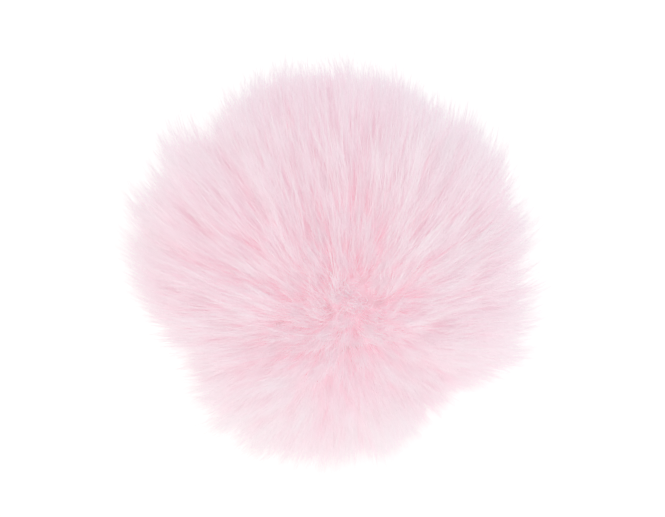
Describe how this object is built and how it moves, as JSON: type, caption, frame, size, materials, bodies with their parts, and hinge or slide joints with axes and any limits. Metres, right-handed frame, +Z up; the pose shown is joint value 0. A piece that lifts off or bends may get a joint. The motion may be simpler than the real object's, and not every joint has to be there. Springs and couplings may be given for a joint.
{
  "type": "pom pom",
  "caption": "Round fluffy pom pom of pale pink faux fur, combed to one side, resting on its gathered back.",
  "frame": {"origin": "on the surface the ball rests on, under the middle of its box", "axes": "+Z up from the gathered back to the crown; +Y the way the pile is combed; +X across the comb"},
  "size_m": [0.1016, 0.0998, 0.0935],
  "materials": {
    "fur": "soft fine pale pink faux fur with whiter tips"
  },
  "bodies": {
    "root": {"fur_ball": "fur"}
  },
  "joints": []
}
